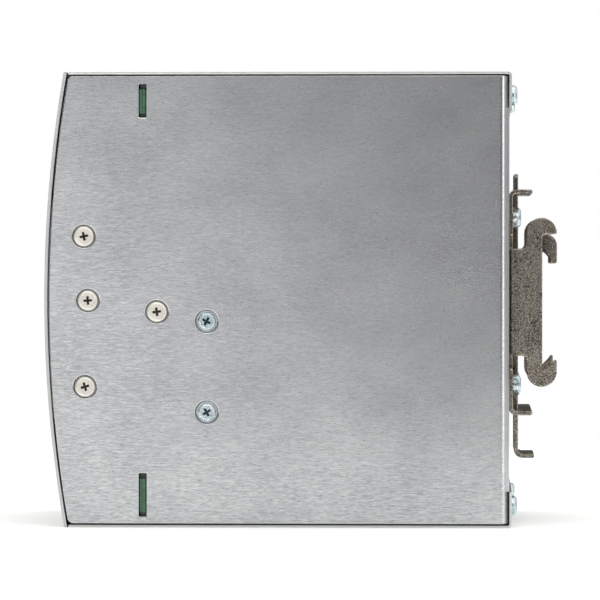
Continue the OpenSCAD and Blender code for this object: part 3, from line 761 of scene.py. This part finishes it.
# %% [markdown]
# ## Terminals
# Every pole has a slotted clamp screw and a steel cage that rises to grip the wire. Both are stamped or
# headed parts, so one rounded copy of each is enough, and its twins sit at the other poles.

# %% Clamp screws and cages
groups = {"input": 3, "output": 4, "alarm": 2}
for kind, edge in (("screw", 0.22), ("cage", 0.14)):
    pattern_node = f"input_{kind}_1"
    pattern = rounded_copy(pattern_node, f"clamp_{kind}_pattern", edge, 3)
    pattern.data.materials.append(clamp_steel)
    origin = middle(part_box(pattern_node))
    for group, count in groups.items():
        for i in range(1, count + 1):
            node = f"{group}_{kind}_{i}"
            piece = twin(pattern, middle(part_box(node)) - origin)
            piece.name = f"{group}_clamp_{kind}_{i}"
            place(piece, body_of[node], slot_of[node], node)
    bpy.data.objects.remove(pattern)
print("placed", 2 * sum(groups.values()), "clamp pieces")

# %% [markdown]
# ## Blocks, boards and small mouldings
# What shows through the vents and openings has plain, moulded or pressed shapes that the CAD already
# gives. Each only needs its edges rounded, widest where a part is soft moulded or dipped, and hardly
# at all where it is cut from sheet.

# %% Blocks, boards and small mouldings
for node, name, edge in (
        ("input_block", "input_terminal_block", 0.25), ("output_block", "output_terminal_block", 0.25),
        ("alarm_block", "alarm_terminal_block", 0.25), ("terminal_board", "upright_terminal_board", 0.08),
        ("main_board", "upright_main_board", 0.08), ("film_capacitors", "film_capacitor_boxes", 0.9),
        ("relay", "relay_box", 0.6), ("rectifier", "bridge_rectifier", 0.25),
        ("power_transistors", "switching_transistors", 0.25), ("transformer_core", "ferrite_core", 0.6),
        ("primary_heat_arm", "front_heat_arm", 0.2), ("secondary_heat_arm", "rear_heat_arm", 0.2),
        ("trimmer_body", "trimmer_case", 0.3), ("trimmer_shaft", "trimmer_adjuster", 0.2),
        ("light_pipe", "lamp_light_pipe", 0.5), ("board_pillars", "board_stand_offs", 0.2),
        ("board_screws", "board_fixing_screws", 0.3)):
    dressed_copy(node, name, edge, 3)
print("rounded the mouldings and boards")

# %% [markdown]
# ## The catch spring
# A small compression spring pushes the catch down against the rail. It is wound from 0.7 mm wire. A
# circle, swept round an axis while it climbs, gives the coil, and a face closes it at each end. The
# fixed finger above holds its top.

# %% Compression spring
spring_low, spring_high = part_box("slider_spring")
WIRE = 0.35
TURNS = 9
coil_r = (spring_high.x - spring_low.x) / 2 - WIRE * MM
rise = spring_high.z - spring_low.z - 2 * WIRE * MM
spring_at = Vector(((spring_low.x + spring_high.x) / 2, (spring_low.y + spring_high.y) / 2,
                    spring_low.z + WIRE * MM))
bpy.ops.object.select_all(action="DESELECT")
bpy.ops.mesh.primitive_circle_add(vertices=14, radius=WIRE * MM, location=(coil_r, 0, 0),
                                  rotation=(math.radians(90), 0, 0))
spring = settle(bpy.context.object)
spring.name = "wound_catch_spring"
apply_modifier(spring, "SCREW", axis="Z", steps=36, render_steps=36, iterations=TURNS,
               screw_offset=rise / TURNS, angle=math.radians(360))
pick(spring, lambda e: len(e.link_faces) == 1, "EDGE")
bpy.ops.mesh.edge_face_add()
bpy.ops.mesh.select_all(action="SELECT")
bpy.ops.mesh.normals_make_consistent(inside=False)
done()
spring.location = spring_at
settle(spring)
smooth(spring, 60)
spring.data.materials.append(spring_steel)
place(spring, "case", "spring_steel", "slider_spring")
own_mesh(spring)
print("spring", round(rise / MM, 1), "mm long,", TURNS, "turns")

# %% [markdown]
# ## Wound ring cores
# The chokes inside are powder cores wrapped by hand with thick enamelled wire. One turn is a rounded
# rectangle of wire round the core's section. Copies of it, fanned about the ring's axis, leave the small
# gap that real windings have between start and finish.

# %% Chokes
def wire_turn(inner, outer, width, wire, lift):
    """One closed turn of wire round a ring's section, standing in the XZ plane; all in millimetres."""
    bpy.ops.object.select_all(action="DESELECT")
    bpy.ops.mesh.primitive_plane_add(size=1, rotation=(math.radians(90), 0, 0))
    loop = bpy.context.object
    low = Vector((inner - lift, 0, -width / 2 - lift))
    high = Vector((outer + lift, 0, width / 2 + lift))
    loop.scale = ((high.x - low.x) * MM, (high.z - low.z) * MM, 1)
    loop.location = (low + high) / 2 * MM
    settle(loop)
    pick(loop, lambda v: True, "VERT")
    bpy.ops.mesh.bevel(offset=lift * 1.6 * MM, segments=4, affect="VERTICES")
    bpy.ops.mesh.delete(type="ONLY_FACE")
    done()
    only(loop)
    bpy.ops.object.convert(target="CURVE")
    loop.data.bevel_depth = wire / 2 * MM
    loop.data.bevel_resolution = 2
    bpy.ops.object.convert(target="MESH")
    return bpy.context.object


def wind(name, ring_box, bore, wire, count, gap, lift):
    """Wire turns round a ring core that stands along X; gap is the open angle in degrees."""
    low, high = ring_box
    outer = (high.z - low.z) / 2 / MM
    turn = wire_turn(bore, outer, (high.x - low.x) / MM, wire, lift)
    pick(turn, lambda v: True, "VERT")
    bpy.ops.mesh.spin(steps=count - 1, dupli=True, angle=math.radians(360 - gap), center=(0, 0, 0),
                      axis=(0, 0, 1))
    done()
    turn.name = name
    lay(turn, "X", middle(ring_box))
    return smooth(turn, 60)


for core, winding, bore, wire, count in (("boost_choke_core", "boost_choke_winding", 9, 1.1, 34),
                                         ("output_choke_core", "output_choke_winding", 6, 1.2, 22)):
    dressed_copy(core, core.replace("core", "ring"), 0.8, 4)
    coil = wind(winding + "_wire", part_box(core), bore, wire, count, gap=18, lift=wire / 2 + 0.15)
    coil.data.materials.append(copper_wire)
    place(coil, "case", "copper_wire", winding)
    print(coil.name, count, "turns,", len(coil.data.polygons), "faces")

filter_low, filter_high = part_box("filter_choke")
shrink = Vector((1.6, 1.6, 1.6)) * MM
filter_coil = wind("mains_filter_wire", (filter_low + shrink, filter_high - shrink), bore=5.4, wire=0.9,
                   count=26, gap=26, lift=0.6)
filter_coil.data.materials.append(copper_wire)
place(filter_coil, "case", "copper_wire", "filter_choke")
print("filter choke wound")

# %% [markdown]
# ## Capacitors
# An electrolytic capacitor is an aluminium can rolled in over a rubber bung, inside a shrunk plastic
# sleeve that curls over the rim. The end disc is scored with a cross so that it can vent. We round the
# rims of a cylinder, inset the bare disc, and cut the score with two thin blocks.

# %% Capacitor cans
def can(name, radius, length):
    """A capacitor can along Z, from its board end at the origin."""
    body = rod(name, radius, length, sides=64)
    for height, reach in ((length, 0.9), (0.0, 0.6)):
        pick(body, lambda e: all(abs(v.co.z - height * MM) < 1e-6 for v in e.verts), "EDGE")
        bpy.ops.mesh.bevel(offset=reach * MM, segments=4, profile=0.5)
        done()
    pick(body, lambda f: f.normal.z > 0.99)
    bpy.ops.mesh.inset(thickness=radius * 0.12 * MM)
    bpy.ops.mesh.inset(thickness=0.25 * MM, depth=-0.5 * MM)
    done()
    end = length - 0.5
    reach = radius * 0.62
    carve(body, *[block("score", low, high) for low, high in (
        ((-reach, -0.15, end - 0.3), (reach, 0.15, end + 1)),
        ((-0.15, -reach, end - 0.3), (0.15, reach, end + 1)))])
    body.data.materials.append(capacitor_sleeve)
    body.data.materials.append(arm_aluminium)
    for face in body.data.polygons:
        face.material_index = int(face.center.z > (length - 0.95) * MM and
                                  face.center.xy.length < radius * 0.87 * MM)
    return flatten_shading(body, 40)


for node, name, radius, length in (("bulk_capacitors", "bulk_capacitor_cans", 12.5, 43),
                                   ("output_capacitors", "output_capacitor_cans", 4.9, 24)):
    at = [Vector((b[0].x, middle(b).y, middle(b).z)) for b in solids(node)]
    cans = join(copies(can(node + "_pattern", radius, length), at, "X", (10, 40, 75, 20)), name)
    place(cans, "case", "capacitor_sleeve", node)
    print(name, len(at), "cans")

# %% [markdown]
# ## Transformer
# The bobbin is wound with wire and wrapped in yellow polyester tape, so only the tape shows, and its
# corners are soft from the turns beneath.

# %% Transformer bobbin
dressed_copy("transformer_winding", "taped_transformer_winding", 0.5, 3)
print("transformer taped")

# %% [markdown]
# ## Camera
# The view is square on to the flat wall from about 1.2 m with a long lens, level with the upper half
# of the case and nearly in line with its back, and turned a few degrees towards its middle.

# %% Camera
VIEW_DISTANCE = 1.243
VIEW_SIDE = 46.6
VIEW_HEIGHT = 76.3
LENS = 272
AIM_OFF = Vector((0, -0.3, 0.5)) * MM
front_y, back_y = (corner[1] for corner in cad_bounds)
wall_middle = Vector((case_high.x, (front_y + back_y) / 2, case_high.z / 2)) + AIM_OFF
camera_data = bpy.data.cameras.new("camera")
camera_data.lens = LENS
camera_data.sensor_width = 36
camera_data.clip_end = 20
camera = bpy.data.objects.new("camera", camera_data)
bpy.context.scene.collection.objects.link(camera)
camera.location = (case_high.x + VIEW_DISTANCE, VIEW_SIDE * MM, VIEW_HEIGHT * MM)
camera.rotation_euler = (wall_middle - camera.location).to_track_quat("-Z", "Y").to_euler()
bpy.context.scene.camera = camera
print("camera at", [round(v, 3) for v in camera.location])

# %% [markdown]
# ## Floor
# A plain white floor runs under the object and fades into the white room around it.

# %% Floor
FLOOR_SIZE = 0.95
bpy.ops.object.select_all(action="DESELECT")
bpy.ops.mesh.primitive_plane_add(size=FLOOR_SIZE, location=(0, 0, 0))
floor = bpy.context.object
floor.name = "floor"
floor_paint = finish("white_floor", "F4F4F2", 0.0, 0.9)[0]
floor.data.materials.append(floor_paint)
print("floor", FLOOR_SIZE, "m wide")

# %% [markdown]
# ## The room
# Metal shows what stands around it, so the room matters more than the lamps. What the camera sees
# directly is plain white, and dull surfaces are lit by an even white sky. Only in mirror-like
# reflections does the room differ: bright towards the front and low down, dark towards the back, so
# that the flat wall shows a gentle fall from its lower front corner to its upper back one. Each row
# of `ramps` says along which direction the room's brightness changes, from where to where.

# %% World
SKY = 1.2
ramps = {
    "sideways": ("Y", -0.15, -0.02, 4.0, 0.0),
    "flank": ("Y", -0.45, -0.16, 0.25, 1.0),
    "upward": ("Z", -0.15, 0.07, 1.3, 0.05),
    "wing": ("Y", 0.25, 0.5, 0.0, 0.5),
    "tall": ("aloft", 0.2, 0.45, 0.0, 0.6),
}
world = bpy.data.worlds.new("studio")
bpy.context.scene.world = world
world.use_nodes = True
sky = world.node_tree
background = sky.nodes["Background"]
ray = add(sky, "LightPath").outputs
towards = add(sky, "SeparateXYZ", {0: add(sky, "TexCoord").outputs["Generated"]}).outputs
aloft = add(sky, "Math", {0: towards["Z"]}, operation="ABSOLUTE").outputs[0]
directions = {"Y": towards["Y"], "Z": towards["Z"], "aloft": aloft}
ramp = {name: add(sky, "MapRange", {"Value": directions[along], "From Min": start, "From Max": end,
                                    "To Min": low, "To Max": high}).outputs["Result"]
        for name, (along, start, end, low, high) in ramps.items()}
room = ramp["sideways"]
for name, operation in (("flank", "MULTIPLY"), ("upward", "MULTIPLY"), ("wing", "ADD"), ("tall", "ADD")):
    room = add(sky, "Math", {0: room, 1: ramp[name]}, operation=operation).outputs[0]
shiny = add(sky, "Mix", {0: ray["Is Glossy Ray"], 2: SKY, 3: room}).outputs[0]
level = add(sky, "Mix", {0: ray["Is Camera Ray"], 2: shiny, 3: 1.0}).outputs[0]
sky.links.new(level, background.inputs["Strength"])
background.inputs["Color"].default_value = (1, 1, 1, 1)
print("room brightness follows", len(ramp), "ramps")

# %% [markdown]
# ## Lamps
# A large soft box overhead gives the soft shadow under the case. One strip in front and above lights
# the rolled upper edges, and another lights the bend between the side wall and the back.

# %% Lamps
def softbox(name, place_at, aim_at, size, power):
    """An area lamp at a place, facing a point, size metres wide and tall."""
    lamp = bpy.data.lights.new(name, "AREA")
    lamp.shape = "RECTANGLE"
    lamp.size, lamp.size_y = size
    lamp.energy = power
    obj = bpy.data.objects.new(name, lamp)
    bpy.context.scene.collection.objects.link(obj)
    obj.location = place_at
    obj.rotation_euler = (Vector(aim_at) - Vector(place_at)).to_track_quat("-Z", "Y").to_euler()
    return obj


centre = Vector((0, 0, case_high.z / 2))
softbox("top_box", (0.1, 0.0, 0.9), centre, (0.9, 0.9), 2.5)
softbox("rim_strip", (0.72, 0.0, 0.66), centre, (1.0, 0.4), 1.5)
softbox("bend_strip", (0.60, 0.52, 0.12), (0.04, 0.06, 0.06), (0.22, 0.6), 0.75)

# %% [markdown]
# ## Look
# The plain view transform shows the hex colours as they were written.

# %% Look settings
bpy.context.scene.view_settings.view_transform = "Standard"
print("view transform", bpy.context.scene.view_settings.view_transform)
